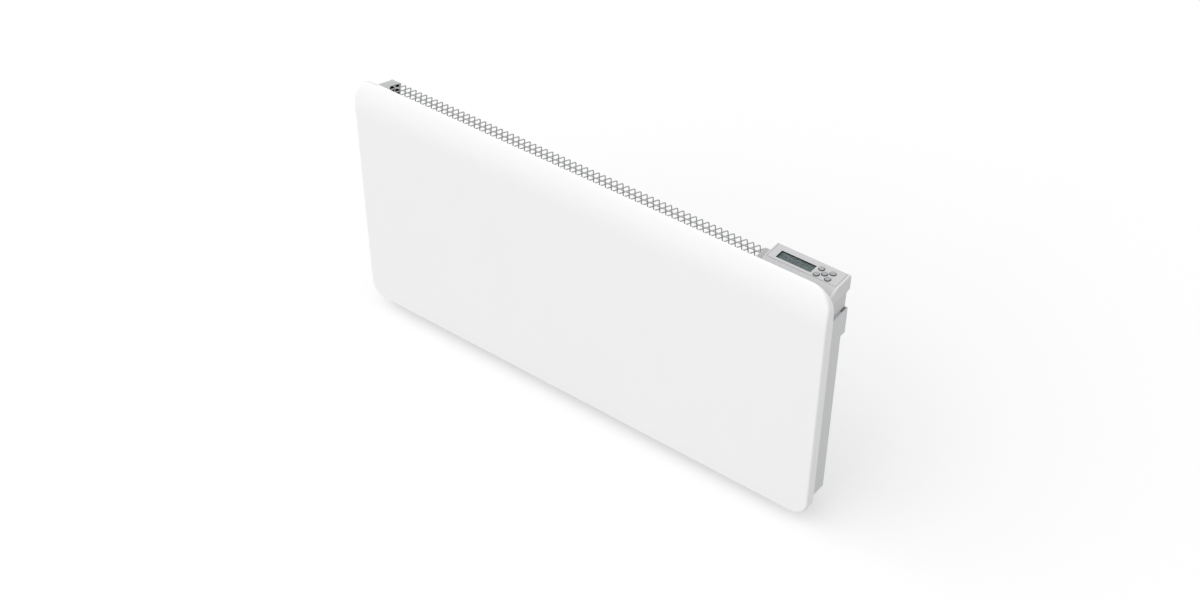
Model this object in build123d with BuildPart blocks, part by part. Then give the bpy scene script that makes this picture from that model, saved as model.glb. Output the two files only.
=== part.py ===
from build123d import *
import os
from math import asin, atan, cos, degrees, radians, sin, tan

# A slim electric convector that hangs on a wall bracket. Millimetres, +Z up, the room at -Y.
# The wall is the plane y = 0, and the origin is the centre of the bracket's four wall screws.

# ---------------------------------------------------------------- driving sizes
panel_width = 860.0
panel_height = 430.0
depth = 74.0  # wall to the flat of the front panel
pattern_rise = 215.0  # centre of the wall screws above the panel's bottom edge

panel_gauge = 1.2
casing_gauge = 0.8
cheek_gauge = 1.0
grille_gauge = 1.2
shield_gauge = 0.6
bracket_gauge = 1.5
mould_wall = 2.0  # every moulded shell
board_gauge = 1.6

seat_gap = 0.3  # between pieces that don't press on each other
fit_gap = 0.1  # round a screw or a bush in its hole
cut_over = 5.0  # how far a cutting tool runs past what it cuts

# Front panel
rim_depth = 16.5
rim_round = 3.5
bottom_corner = 30.0
top_corner = 36.0
brow_height = 58.0  # the band below the top edge that leans back
brow_setback = 11.0
crest_lean = 3.9  # rim's rear edge leans forward as much over the height of the brow
return_flange = 14.0

# Casing and cheeks
cheek_inset = 10.0  # panel's side to the cheek's face
cheek_rise = 16.0  # panel's bottom edge to the cheek's
wall_gap = 12.0  # wall to the casing's back
lug_gap = 0.5  # wall to the cheek lugs and to the head's back
lug_height = 45.0
lug_width = 16.0
cheek_flange = 14.0
screw_flange = 7.5  # outward flange that the panel is screwed to
lip_height = 12.0
casing_drop = 15.0  # grille's rear edge down to the casing's top

# Control head
head_drop = 16.0  # panel's top edge down to the head's top
head_height = 23.0
head_length = 118.0
flare_height = 10.0
neck_height = 24.0
neck_inset = 4.5
neck_ledge_drop = 2.0  # cheek's top down to the ledge that centres the neck
tongue_length = 22.0
tongue_width = 70.0
shoulder_length = 18.0
shoulder_drop = 13.0
shoulder_setback = 5.5
slope_start = 33.0  # head's back to the top of its front slope
slope_angle = 25.0
fascia_gauge = 2.0
fascia_ledge = 2.0
fascia_gap = 0.7  # groove round the fascia's ends and front
front_ledge = 0.8
fascia_left = 2.7
fascia_right = 5.0
display_length = 56.0
display_width = 16.8
display_along = 42.1  # head's left end to the window's centre
display_back = 19.7  # head's back to the window's centre
keys_along = 87.5
keys_back = 19.7
key_step_along = 9.0
key_step_back = 7.0
key_diameter = 8.4
key_gap = 0.4
key_proud = 1.5
key_flange = 0.9
key_travel = 0.8

# Grille
grille_drop = 33.0  # panel's top edge down to the grille's rear edge
grille_wall_gap = 2.0
grille_tilt = 12.5
cell_pitch = 10.815
row_step = 7.17
strand = 1.6
cell_columns = 64
row_pairs = 2
first_cell = 23.5  # left cheek's face to the first cell's centre
tip_length = 6.6
rib_width = 1.2
rib_back = 10.8  # mesh's rear edge to the rib's middle
plate_overhang = 6.0
plate_taper_along = 12.5
plate_taper_back = 17.5
plate_setback = 1.5  # solid left plate's rear edge in front of the mesh's tips

# Duct, element and shield
duct_depth = 25.0
duct_end_gap = 24.0
shield_rise = 44.0
shield_foot = 9.0
element_rise = 94.0  # casing's bottom to the middle of the element
element_left_space = 52.0  # duct's left end to the finned body
element_right_space = 40.0
leg_spacing = 28.0
sheath_diameter = 8.0
core_diameter = 12.0
wing_height = 24.0
wing_spread = 10.0
wing_gauge = 2.0

# Wall bracket
bolt_spacing_x = 480.0
bolt_spacing_z = 240.0
bolt_hole_radius = 3.25
upright_width = 30.0
upright_over = 13.0  # upright past its upper screw
upright_under = 50.0  # upright past its lower screw
rail_height = 20.0
hook_drop = 17.0  # upper screw down to the hook's seat
hook_width = 20.0
hook_lip = 9.0
hook_reach = 5.0  # from the casing's inside to the hook's lip
tongue_drop = 34.0  # lower screw down to the locating tongue
lift_travel = 12.0

# Screws
screw_radius = 1.5
screw_head_radius = 2.8
screw_head_height = 1.8

# ---------------------------------------------------------------- derived places
half_width = panel_width / 2
panel_bottom = -pattern_rise
panel_top = panel_bottom + panel_height
front_face = -depth
flange_plane = front_face + rim_depth

casing_back = -wall_gap
casing_inner = casing_back - casing_gauge
cheek_face = half_width - cheek_inset
cheek_inner = cheek_face - cheek_gauge
cheek_bottom = panel_bottom + cheek_rise
lug_back = -lug_gap

head_top = panel_top - head_drop
head_bottom = head_top - head_height
neck_top = head_bottom - flare_height
cheek_top = neck_top - neck_height
tongue_bottom = cheek_top - tongue_length
head_left = cheek_face - head_length
neck_face = cheek_face - neck_inset
head_front = flange_plane + grille_gauge + seat_gap
head_back = -lug_gap

grille_back = -grille_wall_gap
grille_crest = panel_top - grille_drop
tilt = radians(grille_tilt)
grille_plane = Plane(
    origin=(0, grille_back, grille_crest), x_dir=(1, 0, 0), z_dir=(0, -sin(tilt), cos(tilt))
)
grille_left = -(cheek_face + plate_overhang)
grille_right = head_left - mould_wall

brow_base = panel_top - brow_height
lean = atan(crest_lean / brow_height)
lean_plane = Plane(
    origin=(0, flange_plane, brow_base), x_dir=(1, 0, 0), z_dir=(0, -cos(lean), -sin(lean))
)
fold_bottom = grille_crest - (grille_back - flange_plane) * tan(tilt) - grille_gauge
fold_top = panel_top - cheek_inset / 2
fold_front = flange_plane - (fold_bottom - brow_base) * tan(lean)
grille_front = -(grille_back - fold_front) / cos(tilt)

duct_front = casing_inner - duct_depth
duct_left = -(cheek_face - duct_end_gap)
duct_right = head_left - shoulder_length / 3
casing_top = grille_crest - casing_drop
casing_side_top = cheek_top - 2.0


def facing(y):
    """Plane at depth y that faces the room: its own axes are X and Z."""
    return Plane.XZ.offset(-y)


def across(x):
    """Plane across the width at x: its own axes are Y and Z."""
    return Plane.YZ.offset(x)


def level(z):
    """Horizontal plane at height z."""
    return Plane.XY.offset(z)


def block(x, y, z, mode=Mode.ADD):
    """Box that fills three ranges, each given as (low, high)."""
    with Locations(((x[0] + x[1]) / 2, (y[0] + y[1]) / 2, (z[0] + z[1]) / 2)):
        Box(x[1] - x[0], y[1] - y[0], z[1] - z[0], mode=mode)


def spread(low, high, count):
    """Evenly spaced values from low to high, both ends included."""
    return [low + (high - low) * i / (count - 1) for i in range(count)]


def seats(places, out):
    """Planes on which screw heads sit, each with its normal pointing out of the head."""
    return [Plane(origin=place, z_dir=out) for place in places]


def add_screws(planes, length, radius=screw_radius, head=screw_head_radius):
    """Pan-head screws with a cross recess, their heads seated on the planes."""
    with Locations(*planes):
        Cylinder(head, screw_head_height, align=(Align.CENTER, Align.CENTER, Align.MIN))
        Cylinder(radius, length, align=(Align.CENTER, Align.CENTER, Align.MAX))
    recess = [plane.offset(screw_head_height) for plane in planes]
    with Locations(*recess):
        Box(head * 1.1, head * 0.28, screw_head_height, mode=Mode.SUBTRACT)
        Box(head * 0.28, head * 1.1, screw_head_height, mode=Mode.SUBTRACT)


def drill(planes, deep, radius=screw_radius + fit_gap):
    """Clearance holes that run as far as deep on both sides of the planes."""
    with Locations(*planes):
        Hole(radius, depth=deep)


def grille_height(y):
    """Height of the grille's upper face at depth y."""
    return grille_crest - (grille_back - y) * tan(tilt)


def lean_depth(z):
    """Depth of the rim's rear edge at a height within the brow."""
    return flange_plane - (z - brow_base) * tan(lean)


# ---------------------------------------------------------------- where the screws go
to_wall = (0, 1, 0)
side_screw_heights = spread(cheek_bottom + 34, cheek_top - 22, 4)
flange_x = cheek_face + screw_flange / 2
side_screws = seats(
    [(side * flange_x, flange_plane + cheek_gauge, z) for side in (-1, 1) for z in side_screw_heights],
    to_wall,
)
lip_screws = seats(
    [(x, flange_plane + casing_gauge, cheek_bottom - lip_height / 2) for x in spread(-370, 370, 5)],
    to_wall,
)
grille_screw_height = panel_top - return_flange + 3.5
grille_screws_at = seats(
    [
        (x, lean_depth(grille_screw_height) + grille_gauge / cos(lean), grille_screw_height)
        for x in spread(-half_width + 80, head_left - 60, 5)
    ],
    (0, cos(lean), sin(lean)),
)
rear_flange_x = cheek_inner - cheek_flange / 2
casing_screw_heights = spread(cheek_bottom + 14, cheek_top - lug_height - 10, 4)
tongue_height = (casing_side_top + tongue_bottom) / 2
tongue_left = neck_face - tongue_width
cap_inner = -(cheek_face - 21.0)
cap_screw_x = -(neck_face + -cap_inner) / 2
cheek_screws_at = seats(
    [(side * rear_flange_x, casing_back, z) for side in (-1, 1) for z in casing_screw_heights],
    to_wall,
)
tongue_screws_at = seats(
    [(x, casing_back, tongue_height) for x in (tongue_left + 12, neck_face - 12)], to_wall
)
cap_screws_at = seats([(cap_screw_x, casing_back, tongue_height)], to_wall)
shield_foot_x = (duct_left - shield_foot / 2, duct_right + shield_foot / 2)
shield_screws_at = seats(
    [(x, casing_back, z) for x in shield_foot_x for z in spread(cheek_bottom + 70, cheek_top - 50, 3)],
    to_wall,
)


# ---------------------------------------------------------------- front panel
brow_radius = (brow_height**2 + brow_setback**2) / (2 * brow_setback)


def panel_form(inset):
    """Solid of the pressed panel's outside, moved inward by inset on every side."""
    sweep_angle = degrees(asin((brow_height + cut_over) / (brow_radius - inset)))
    with BuildPart() as form:
        with BuildSketch(facing(flange_plane - inset)) as outline:
            with Locations((0, (panel_bottom + panel_top) / 2)):
                Rectangle(panel_width - 2 * inset, panel_height - 2 * inset)
            fillet(outline.vertices().group_by(Axis.Y)[0], bottom_corner - inset)
            fillet(outline.vertices().group_by(Axis.Y)[-1], top_corner - inset)
        extrude(amount=rim_depth - 2 * inset)
        with BuildSketch(across(0)):
            with BuildLine():
                arc = CenterArc(
                    (front_face + brow_radius, brow_base), brow_radius - inset, 180, -sweep_angle
                )
                ahead = front_face - cut_over
                Polyline(arc @ 1, (ahead, (arc @ 1).Y), (ahead, brow_base), arc @ 0)
            make_face()
        extrude(amount=half_width + cut_over, both=True, mode=Mode.SUBTRACT)
        rear_edges = form.edges().group_by(Axis.Y)[-1]
        cross_edges = form.edges().filter_by(Axis.Y)
        brow_seam = form.edges().filter_by(Axis.X).sort_by_distance((0, front_face, brow_base))[0]
        fillet(form.edges() - rear_edges - cross_edges - [brow_seam], rim_round - inset)
        with BuildSketch(lean_plane.offset(inset)) as behind:
            with Locations((0, panel_height / 2)):
                Rectangle(panel_width + cut_over, panel_height)
        extrude(behind.sketch, amount=-rim_depth, mode=Mode.SUBTRACT)
    return form.part


panel_outside = panel_form(0)
panel_inside = panel_form(panel_gauge)

with BuildPart() as front_panel:
    add(panel_outside)
    add(panel_inside, mode=Mode.SUBTRACT)
    with BuildSketch(facing(flange_plane)):
        with Locations((0, (panel_bottom + panel_top) / 2)):
            RectangleRounded(
                panel_width - 2 * return_flange,
                panel_height - 2 * return_flange,
                bottom_corner - return_flange,
            )
    extrude(amount=crest_lean + panel_gauge + seat_gap, mode=Mode.SUBTRACT)
    drill(side_screws + lip_screws, 2 * panel_gauge + cheek_gauge)
    drill(grille_screws_at, panel_gauge + grille_gauge + seat_gap)
front_panel.part.label = "front_panel"


# ---------------------------------------------------------------- cheeks
with BuildPart() as right_cheek:
    block((cheek_inner, cheek_face), (flange_plane, casing_back), (cheek_bottom, cheek_top))
    block(
        (cheek_inner, cheek_face + screw_flange),
        (flange_plane, flange_plane + cheek_gauge),
        (cheek_bottom + cheek_rise, cheek_top),
    )
    block(
        (cheek_inner - cheek_flange, cheek_inner),
        (casing_inner - cheek_gauge, casing_inner),
        (cheek_bottom + casing_gauge + seat_gap, tongue_bottom - seat_gap),
    )
    block((cheek_inner, cheek_face), (casing_back, lug_back), (cheek_top - lug_height, cheek_top))
    block(
        (cheek_face - lug_width, cheek_face),
        (lug_back - cheek_gauge, lug_back),
        (cheek_top - lug_height, cheek_top),
    )
    block(
        (cheek_face - lug_width, cheek_face),
        (casing_back + seat_gap, lug_back),
        (cheek_top - lug_height, cheek_top - lug_height + cheek_gauge),
    )
    drill([plane for plane in side_screws if plane.origin.X > 0], 2 * cheek_gauge)
    drill([plane for plane in cheek_screws_at if plane.origin.X > 0], casing_gauge + 2 * cheek_gauge)
right_cheek.part.label = "right_cheek"

with BuildPart() as left_cheek:
    mirror(right_cheek.part, about=Plane.YZ)
left_cheek.part.label = "left_cheek"


# ---------------------------------------------------------------- wall bracket
upright_x = bolt_spacing_x / 2
upper_screw = bolt_spacing_z / 2
upright_range = (-upper_screw - upright_under, upper_screw + upright_over)
hook_seat = upper_screw - hook_drop
tongue_top = -upper_screw - tongue_drop
hook_tip = casing_inner - hook_reach
rail_ranges = [
    (hook_seat + 4, hook_seat + 4 + rail_height),
    (tongue_top + 4, tongue_top + 4 + rail_height),
]
bracket_front = casing_back + seat_gap
wall_bolts = seats(
    [(sx * upright_x, -bracket_gauge, sz * upper_screw) for sx in (-1, 1) for sz in (-1, 1)],
    (0, -1, 0),
)

with BuildPart() as wall_bracket:
    for side in (-1, 1):
        middle = side * upright_x
        left, right = middle - upright_width / 2, middle + upright_width / 2
        block((left, right), (-bracket_gauge, 0), upright_range)
        block((left, left + bracket_gauge), (bracket_front, 0), upright_range)
        block((right - bracket_gauge, right), (bracket_front, 0), upright_range)
        tab = (middle - hook_width / 2, middle + hook_width / 2)
        block(tab, (hook_tip, 0), (hook_seat - bracket_gauge, hook_seat))
        block(
            tab,
            (hook_tip - bracket_gauge, hook_tip),
            (hook_seat - bracket_gauge, hook_seat + hook_lip),
        )
        block(tab, (hook_tip, 0), (tongue_top - bracket_gauge, tongue_top))
    for low, high in rail_ranges:
        rail = (-upright_x, upright_x)
        inside = (-upright_x + upright_width / 2, upright_x - upright_width / 2)
        block(rail, (-bracket_gauge, 0), (low, high))
        block(inside, (-6, 0), (high - bracket_gauge, high))
    drill(wall_bolts, 2 * bracket_gauge, radius=bolt_hole_radius)
wall_bracket.part.label = "wall_bracket"


# ---------------------------------------------------------------- rear casing
sheet_x = cheek_inner - seat_gap - 0.1
hook_slot = (hook_seat - bracket_gauge - lift_travel - 0.5, hook_seat)
tongue_slot = (tongue_top - bracket_gauge - lift_travel - 0.5, tongue_top + 0.5)
slot_side_gap = 2.5
inlet_length = 24.0
inlet_width = 5.0
inlet_pitch = 31.0
inlet_row_gap = 14.0
gland_x = cheek_face - 50.0
gland_y = casing_inner - 16.0
gland_radius = 5.9

with BuildPart() as rear_casing:
    with BuildSketch(facing(casing_back)):
        with BuildLine():
            Polyline(
                (-sheet_x, cheek_bottom),
                (sheet_x, cheek_bottom),
                (sheet_x, casing_side_top),
                (head_left - 1, casing_side_top),
                (head_left - 1, casing_top),
                (cap_inner + seat_gap + 1, casing_top),
                (cap_inner + seat_gap + 1, casing_side_top),
                (-sheet_x, casing_side_top),
                close=True,
            )
        make_face()
    extrude(amount=casing_gauge)
    block((-sheet_x, sheet_x), (flange_plane, casing_back), (cheek_bottom, cheek_bottom + casing_gauge))
    lip_x = half_width - bottom_corner
    block(
        (-lip_x, lip_x),
        (flange_plane, flange_plane + casing_gauge),
        (cheek_bottom - lip_height, cheek_bottom + casing_gauge),
    )
    for side in (-1, 1):
        tab_x = (
            side * upright_x - hook_width / 2 - slot_side_gap,
            side * upright_x + hook_width / 2 + slot_side_gap,
        )
        sheet_y = (casing_inner - cut_over, casing_back + cut_over)
        block(tab_x, sheet_y, hook_slot, mode=Mode.SUBTRACT)
        block(tab_x, sheet_y, tongue_slot, mode=Mode.SUBTRACT)
    inlet_y = (flange_plane + casing_inner) / 2
    inlet_count = int((duct_right - duct_left - inlet_length) / inlet_pitch) + 1
    with BuildSketch(level(cheek_bottom)):
        with Locations(((duct_left + duct_right) / 2, inlet_y)):
            with GridLocations(inlet_pitch, inlet_row_gap, inlet_count, 2):
                SlotOverall(inlet_length, inlet_width)
    extrude(amount=casing_gauge + cut_over, mode=Mode.SUBTRACT)
    with Locations(Plane(origin=(gland_x, gland_y, cheek_bottom + cut_over))):
        Hole(gland_radius + fit_gap, depth=2 * cut_over)
    drill(cheek_screws_at + tongue_screws_at + cap_screws_at + shield_screws_at, 2 * casing_gauge)
    drill(lip_screws, 2 * casing_gauge)
rear_casing.part.label = "rear_casing"


# ---------------------------------------------------------------- left end cap
with BuildPart() as left_end_cap:
    block((-neck_face, cap_inner), (head_front, head_back), (cheek_top + seat_gap, grille_crest))
    with BuildSketch(level(neck_top)):
        with BuildLine():
            Polyline(
                (cap_inner, head_front),
                (cap_inner, head_back),
                (grille_left + plate_taper_along, head_back),
                (grille_left, head_back - plate_setback - plate_taper_back),
                (grille_left, head_front),
                close=True,
            )
        make_face()
    extrude(amount=grille_crest - neck_top)
    flare = left_end_cap.edges().filter_by(lambda e: abs(e.center().Z - neck_top) < 0.01)
    outer = flare.filter_by(lambda e: e.center().X < -neck_face - 0.5).filter_by(
        lambda e: abs(e.tangent_at(0.5).Y) > 0.5
    )
    chamfer(outer, flare_height, plate_overhang + neck_inset - 2)
    block(
        (-neck_face, cap_inner),
        (casing_inner - cheek_flange, casing_inner),
        (tongue_bottom, cheek_top + mould_wall),
    )
    block(
        (-neck_face + mould_wall, cap_inner + cut_over),
        (head_front + mould_wall, head_back - mould_wall),
        (cheek_top + mould_wall, grille_crest + cut_over),
        mode=Mode.SUBTRACT,
    )
    with BuildSketch(grille_plane.offset(-grille_gauge)):
        Rectangle(panel_width, panel_width)
    extrude(amount=panel_width / 4, mode=Mode.SUBTRACT)
    drill(cap_screws_at, casing_gauge + cheek_flange - mould_wall)
left_end_cap.part.label = "left_end_cap"


# ---------------------------------------------------------------- top grille
cell_half_x = cell_pitch / 2
cell_slope = (cell_half_x**2 + row_step**2) ** 0.5
gap_half_x = cell_half_x - strand / 2 * cell_slope / row_step
gap_half_y = row_step - strand / 2 * cell_slope / cell_half_x
first_x = -cheek_face + first_cell

with BuildPart() as top_grille:
    with BuildSketch(grille_plane) as net:
        with BuildLine():
            Polyline(
                (first_x - cell_half_x, -plate_setback),
                (grille_left + plate_taper_along, -plate_setback),
                (grille_left, -plate_setback - plate_taper_back),
                (grille_left, grille_front),
                (grille_right, grille_front),
                (grille_right, 0),
                (first_x - cell_half_x, 0),
                close=True,
            )
        make_face()
        gaps = []
        for row in range(2 * row_pairs):
            stagger = -cell_half_x if row % 2 else 0
            for column in range(cell_columns):
                gaps.append((first_x + column * cell_pitch + stagger, -tip_length - row * row_step))
        notches = [
            (first_x + cell_half_x + column * cell_pitch, row_step - tip_length)
            for column in range(cell_columns)
        ]
        with Locations(*gaps, *notches):
            Polygon(
                (gap_half_x, 0), (0, gap_half_y), (-gap_half_x, 0), (0, -gap_half_y),
                mode=Mode.SUBTRACT,
            )
        with Locations(((first_x - cell_half_x + grille_right) / 2, -rib_back)):
            Rectangle(grille_right - first_x + cell_half_x, rib_width)
    extrude(amount=-grille_gauge)
    with BuildSketch(lean_plane) as fold:
        fold_x = (-half_width + bottom_corner, grille_right - 4)
        with Locations(((fold_x[0] + fold_x[1]) / 2, (fold_bottom + fold_top) / 2 - brow_base)):
            Rectangle(fold_x[1] - fold_x[0], fold_top - fold_bottom)
    extrude(fold.sketch, amount=-grille_gauge)
    drill(grille_screws_at, 2 * grille_gauge)
top_grille.part.label = "top_grille"


# ---------------------------------------------------------------- control housing
slope_y = head_back - slope_start
slope_plane = Plane(
    origin=(0, slope_y, head_top),
    x_dir=(1, 0, 0),
    z_dir=(0, -sin(radians(slope_angle)), cos(radians(slope_angle))),
)
shoulder_x = (head_left - shoulder_length, head_left + mould_wall)
shoulder_top = head_top - shoulder_drop
fascia_x = (head_left + fascia_left, cheek_face - fascia_right)
fascia_y = (slope_y, head_back)
fascia_under = head_top - fascia_gauge
post_radius = 3.0
post_hole = 1.2
board_seat = cheek_top + 2 * mould_wall + 3.0
power_board_x = (head_left + 6, head_left + 82)
power_board_y = (head_front + 4, head_back - 6)
post_places = [
    (power_board_x[0] + 5, power_board_y[0] + 5),
    (power_board_x[0] + 5, power_board_y[1] - 5),
    (power_board_x[0] + 32, power_board_y[1] - 3.5),
    (power_board_x[0] + 32, power_board_y[0] + 5),
]


head_outline = [
    (head_left, cheek_top + seat_gap),
    (neck_face, cheek_top + seat_gap),
    (neck_face, neck_top),
    (cheek_face, head_bottom),
    (cheek_face, head_top),
    (head_left, head_top),
]


def cut_above(plane):
    """Takes away everything on the upper side of a plane."""
    with BuildSketch(plane) as above:
        with Locations((0, -panel_width / 2)):
            Rectangle(2 * panel_width, panel_width)
    extrude(above.sketch, amount=head_length, mode=Mode.SUBTRACT)


with BuildPart() as head_outside:
    with BuildSketch(facing(head_back)):
        with BuildLine():
            Polyline(*head_outline, close=True)
        make_face()
    extrude(amount=head_back - head_front)
    cut_above(slope_plane)
    corners = head_outside.edges().filter_by(Axis.Y).group_by(Axis.Z)[-1]
    slope_sides = head_outside.faces().sort_by(Axis.X)[-1].edges().filter_by(
        lambda e: abs(e.tangent_at(0.5).Y) > 0.5 and e.center().Z > head_bottom + 2
    )
    fillet(slope_sides, 2.0)

with BuildPart() as head_inside:
    with BuildSketch(facing(head_back - mould_wall)):
        with BuildLine():
            Polyline(*head_outline, close=True)
        make_face()
        offset(amount=-mould_wall, kind=Kind.INTERSECTION, mode=Mode.REPLACE)
    extrude(amount=head_back - head_front - 2 * mould_wall)
    cut_above(slope_plane.offset(-mould_wall))

with BuildPart() as shoulder:
    block(shoulder_x, (head_front, head_back - shoulder_setback), (neck_top, shoulder_top))
    outside_edges = shoulder.edges().filter_by(Axis.Y).group_by(Axis.X)[0].group_by(Axis.Z)[-1]
    rear_corner = shoulder.edges().filter_by(Axis.Z).group_by(Axis.X)[0].group_by(Axis.Y)[-1]
    fillet(outside_edges + rear_corner, 4.0)
    with BuildSketch(grille_plane.offset(seat_gap)):
        Rectangle(panel_width * 2, panel_width)
    extrude(amount=-panel_width / 4, mode=Mode.SUBTRACT)
    block(
        (shoulder_x[0] + mould_wall, shoulder_x[1] + cut_over),
        (head_front + mould_wall, head_back - shoulder_setback - mould_wall),
        (neck_top, shoulder_top - mould_wall),
        mode=Mode.SUBTRACT,
    )

with BuildPart() as control_housing:
    add(head_outside.part)
    add(shoulder.part)
    tongue_x = (tongue_left, neck_face)
    tongue_y = (head_front + mould_wall, casing_inner)
    block(tongue_x, tongue_y, (tongue_bottom, cheek_top + mould_wall))
    ledge_top = cheek_top - neck_ledge_drop
    block((neck_face, cheek_inner - seat_gap), tongue_y, (ledge_top - mould_wall, ledge_top))
    with BuildSketch(grille_plane.offset(-grille_gauge)):
        with Locations(((grille_right - 6 + head_left) / 2, grille_front / 2)):
            Rectangle(head_left - grille_right + 6, -grille_front - 10)
    extrude(amount=-mould_wall)
    add(head_inside.part, mode=Mode.SUBTRACT)
    block(
        (tongue_x[0] + mould_wall, tongue_x[1] - mould_wall),
        (tongue_y[0] + mould_wall, tongue_y[1] - mould_wall),
        (tongue_bottom - cut_over, cheek_top + 3 * mould_wall),
        mode=Mode.SUBTRACT,
    )
    ledge_z = (fascia_under - fascia_ledge, head_top - mould_wall)
    block((head_left, cheek_face - mould_wall), (slope_y - mould_wall, head_back), ledge_z)
    block(
        (fascia_x[0] - fascia_gap, fascia_x[1] + fascia_gap),
        (fascia_y[0] - fascia_gap, head_back + cut_over),
        (fascia_under, head_top + cut_over),
        mode=Mode.SUBTRACT,
    )
    block(
        (fascia_x[0] + fascia_ledge, fascia_x[1] - fascia_ledge),
        (fascia_y[0] + front_ledge, head_back - mould_wall),
        (fascia_under - fascia_ledge - cut_over, head_top),
        mode=Mode.SUBTRACT,
    )
    with Locations(*[(x, y, cheek_top + mould_wall) for x, y in post_places]):
        Cylinder(
            post_radius, board_seat - cheek_top - mould_wall,
            align=(Align.CENTER, Align.CENTER, Align.MIN),
        )
    with Locations(*[(x, y, board_seat) for x, y in post_places]):
        Hole(post_hole, depth=4.0)
    drill(tongue_screws_at, casing_gauge + 2 * mould_wall)
control_housing.part.label = "control_housing"


# ---------------------------------------------------------------- fascia, window, display, keys
display_x = head_left + display_along
display_y = head_back - display_back
keys_x = head_left + keys_along
keys_y = head_back - keys_back
key_places = {
    "key_centre": (0, 0),
    "key_rear_left": (-1, 1),
    "key_rear_right": (1, 1),
    "key_front_left": (-1, -1),
    "key_front_right": (1, -1),
}
key_centres = {
    name: (keys_x + along * key_step_along, keys_y + back * key_step_back)
    for name, (along, back) in key_places.items()
}
window_gauge = 1.0
window_margin = 2.3
display_height = 4.0
board_top = fascia_under - window_gauge - display_height
boss_radius = 2.4
boss_hole = 1.0
boss_inset = 5.6
boss_places = [
    (x, y)
    for x in (fascia_x[0] + boss_inset, fascia_x[1] - boss_inset)
    for y in (fascia_y[0] + boss_inset, head_back - mould_wall - 3.4)
]

with BuildPart() as control_fascia:
    with BuildSketch(level(fascia_under)):
        with Locations(((fascia_x[0] + fascia_x[1]) / 2, (fascia_y[0] + fascia_y[1]) / 2)):
            Rectangle(fascia_x[1] - fascia_x[0], fascia_y[1] - fascia_y[0])
        with Locations((display_x, display_y)):
            RectangleRounded(display_length, display_width, 0.6, mode=Mode.SUBTRACT)
        with Locations(*key_centres.values()):
            Circle(key_diameter / 2 + key_gap, mode=Mode.SUBTRACT)
    extrude(amount=fascia_gauge)
    rear_edge = control_fascia.edges().filter_by(Axis.X).group_by(Axis.Y)[-1].group_by(Axis.Z)[-1]
    fillet(rear_edge, 0.8)
    with Locations(*[(x, y, fascia_under) for x, y in boss_places]):
        Cylinder(
            boss_radius, fascia_under - board_top, align=(Align.CENTER, Align.CENTER, Align.MAX)
        )
    with Locations(*[Plane(origin=(x, y, board_top), z_dir=(0, 0, -1)) for x, y in boss_places]):
        Hole(boss_hole, depth=fascia_under - board_top)
control_fascia.part.label = "control_fascia"

with BuildPart() as display_window:
    with BuildSketch(level(fascia_under)):
        with Locations((display_x, display_y)):
            RectangleRounded(display_length + 2 * window_margin, display_width + 2 * window_margin, 1.0)
    extrude(amount=-window_gauge)
display_window.part.label = "display_window"

with BuildPart() as display_module:
    with BuildSketch(level(board_top)):
        with Locations((display_x, display_y)):
            RectangleRounded(display_length + 3.0, display_width + 3.0, 0.8)
    extrude(amount=display_height)
    chamfer(display_module.edges().group_by(Axis.Z)[-1], 0.5)
display_module.part.label = "display_module"

key_parts = []
for name, (key_x, key_y) in key_centres.items():
    with BuildPart() as key:
        with BuildSketch(level(fascia_under - key_flange)):
            with Locations((key_x, key_y)):
                Circle(key_diameter / 2 + key_flange)
        extrude(amount=key_flange)
        with BuildSketch(level(fascia_under)):
            with Locations((key_x, key_y)):
                Circle(key_diameter / 2)
        extrude(amount=fascia_gauge + key_proud)
        fillet(key.edges().group_by(Axis.Z)[-1], 0.5)
    key.part.label = name
    key_parts.append(key.part)

switch_side = 6.0
switch_height = 2.6
plunger_radius = 1.7
plunger_top = fascia_under - key_flange - key_travel - 0.1

with BuildPart() as key_switches:
    with Locations(*[(x, y, board_top) for x, y in key_centres.values()]):
        Box(switch_side, switch_side, switch_height, align=(Align.CENTER, Align.CENTER, Align.MIN))
        Cylinder(
            plunger_radius, plunger_top - board_top, align=(Align.CENTER, Align.CENTER, Align.MIN)
        )
key_switches.part.label = "key_switches"

with BuildPart() as control_board:
    block(
        (fascia_x[0] + 2.5, fascia_x[1] - 2.5),
        (fascia_y[0] + 2.5, head_back - mould_wall - 0.5),
        (board_top - board_gauge, board_top),
    )
    with Locations(*[(x, y, board_top) for x, y in boss_places]):
        Hole(boss_hole + fit_gap, depth=2 * board_gauge)
control_board.part.label = "control_board"

with BuildPart() as board_screws:
    under_board = [
        Plane(origin=(x, y, board_top - board_gauge), z_dir=(0, 0, -1)) for x, y in boss_places
    ]
    add_screws(under_board, board_gauge + 3.0, radius=boss_hole - 0.02, head=2.0)
    on_board = [Plane(origin=(x, y, board_seat + board_gauge)) for x, y in post_places]
    add_screws(on_board, board_gauge + 3.0, radius=boss_hole - 0.02, head=2.0)
board_screws.part.label = "board_screws"


# ---------------------------------------------------------------- power board
power_top = board_seat + board_gauge

with BuildPart() as power_board:
    block(power_board_x, power_board_y, (board_seat, power_top))
    with Locations(*[(x, y, power_top) for x, y in post_places]):
        Hole(boss_hole + fit_gap, depth=2 * board_gauge)
power_board.part.label = "power_board"


def component(x, y, size, edge, label):
    """Moulded electrical part that stands on the power board with softened upper edges."""
    with BuildPart() as body:
        with Locations((x, y, power_top)):
            Box(*size, align=(Align.CENTER, Align.CENTER, Align.MIN))
        fillet(body.edges().filter_by(Axis.Z), edge)
        chamfer(body.edges().group_by(Axis.Z)[-1], edge / 2)
    body.part.label = label
    return body.part


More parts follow.
